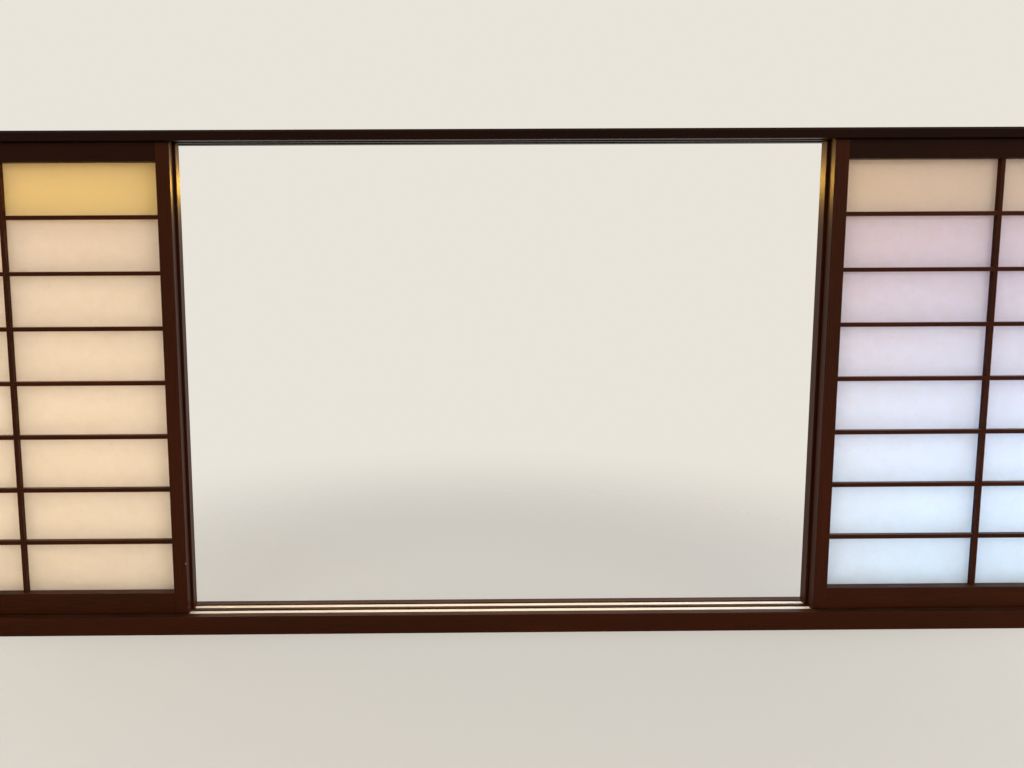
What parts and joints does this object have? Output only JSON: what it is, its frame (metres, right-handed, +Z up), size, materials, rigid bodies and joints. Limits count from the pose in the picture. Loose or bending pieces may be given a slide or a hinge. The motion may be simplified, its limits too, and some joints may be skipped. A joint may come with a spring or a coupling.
{
  "type": "shoji sliding screen window",
  "caption": "Sliding paper-screen window: latticed wooden panels with translucent paper, running in the grooves of a wooden sill and head between plain jambs.",
  "frame": {"origin": "centre of the sill's underside", "axes": "+X along the window to the right seen from the room, -Y towards the room, +Z up"},
  "size_m": [2.952, 0.098, 1.105],
  "materials": {
    "frame_timber": "dark stain, satin",
    "panel_timber": "dark stain, satin",
    "lattice_timber": "dark stain, satin",
    "paper": "matt, translucent",
    "slip_tape": "smooth, satin",
    "screw_steel": "zinc plated"
  },
  "bodies": {
    "frame": {"sill_track": "frame_timber", "head_track": "frame_timber", "left_jamb": "frame_timber", "right_jamb": "frame_timber", "front_slip_tape": "slip_tape", "rear_slip_tape": "slip_tape", "corner_screws": "screw_steel"},
    "front_left_panel": {"front_left_panel_left_stile": "panel_timber", "front_left_panel_right_stile": "panel_timber", "front_left_panel_top_rail": "panel_timber", "front_left_panel_bottom_rail": "panel_timber", "front_left_panel_upright_bar_1": "lattice_timber", "front_left_panel_cross_bar_1": "lattice_timber", "front_left_panel_cross_bar_2": "lattice_timber", "front_left_panel_cross_bar_3": "lattice_timber", "front_left_panel_cross_bar_4": "lattice_timber", "front_left_panel_cross_bar_5": "lattice_timber", "front_left_panel_cross_bar_6": "lattice_timber", "front_left_panel_cross_bar_7": "lattice_timber", "front_left_panel_paper": "paper"},
    "front_right_panel": {"front_right_panel_left_stile": "panel_timber", "front_right_panel_right_stile": "panel_timber", "front_right_panel_top_rail": "panel_timber", "front_right_panel_bottom_rail": "panel_timber", "front_right_panel_upright_bar_1": "lattice_timber", "front_right_panel_cross_bar_1": "lattice_timber", "front_right_panel_cross_bar_2": "lattice_timber", "front_right_panel_cross_bar_3": "lattice_timber", "front_right_panel_cross_bar_4": "lattice_timber", "front_right_panel_cross_bar_5": "lattice_timber", "front_right_panel_cross_bar_6": "lattice_timber", "front_right_panel_cross_bar_7": "lattice_timber", "front_right_panel_paper": "paper"},
    "rear_left_panel": {"rear_left_panel_left_stile": "panel_timber", "rear_left_panel_right_stile": "panel_timber", "rear_left_panel_top_rail": "panel_timber", "rear_left_panel_bottom_rail": "panel_timber", "rear_left_panel_upright_bar_1": "lattice_timber", "rear_left_panel_cross_bar_1": "lattice_timber", "rear_left_panel_cross_bar_2": "lattice_timber", "rear_left_panel_cross_bar_3": "lattice_timber", "rear_left_panel_cross_bar_4": "lattice_timber", "rear_left_panel_cross_bar_5": "lattice_timber", "rear_left_panel_cross_bar_6": "lattice_timber", "rear_left_panel_cross_bar_7": "lattice_timber", "rear_left_panel_paper": "paper"},
    "rear_right_panel": {"rear_right_panel_left_stile": "panel_timber", "rear_right_panel_right_stile": "panel_timber", "rear_right_panel_top_rail": "panel_timber", "rear_right_panel_bottom_rail": "panel_timber", "rear_right_panel_upright_bar_1": "lattice_timber", "rear_right_panel_cross_bar_1": "lattice_timber", "rear_right_panel_cross_bar_2": "lattice_timber", "rear_right_panel_cross_bar_3": "lattice_timber", "rear_right_panel_cross_bar_4": "lattice_timber", "rear_right_panel_cross_bar_5": "lattice_timber", "rear_right_panel_cross_bar_6": "lattice_timber", "rear_right_panel_cross_bar_7": "lattice_timber", "rear_right_panel_paper": "paper"}
  },
  "joints": [
    {"name": "front_left_slide", "type": "slide", "parent": "frame", "child": "front_left_panel", "axis": [1, 0, 0], "range_m": [0, 0.70725]},
    {"name": "front_right_slide", "type": "slide", "parent": "frame", "child": "front_right_panel", "axis": [1, 0, 0], "range_m": [-0.70725, 0]},
    {"name": "rear_left_slide", "type": "slide", "parent": "frame", "child": "rear_left_panel", "axis": [1, 0, 0], "range_m": [-0.005, 0.70225]},
    {"name": "rear_right_slide", "type": "slide", "parent": "frame", "child": "rear_right_panel", "axis": [1, 0, 0], "range_m": [-0.70175, 0.0055]}
  ]
}
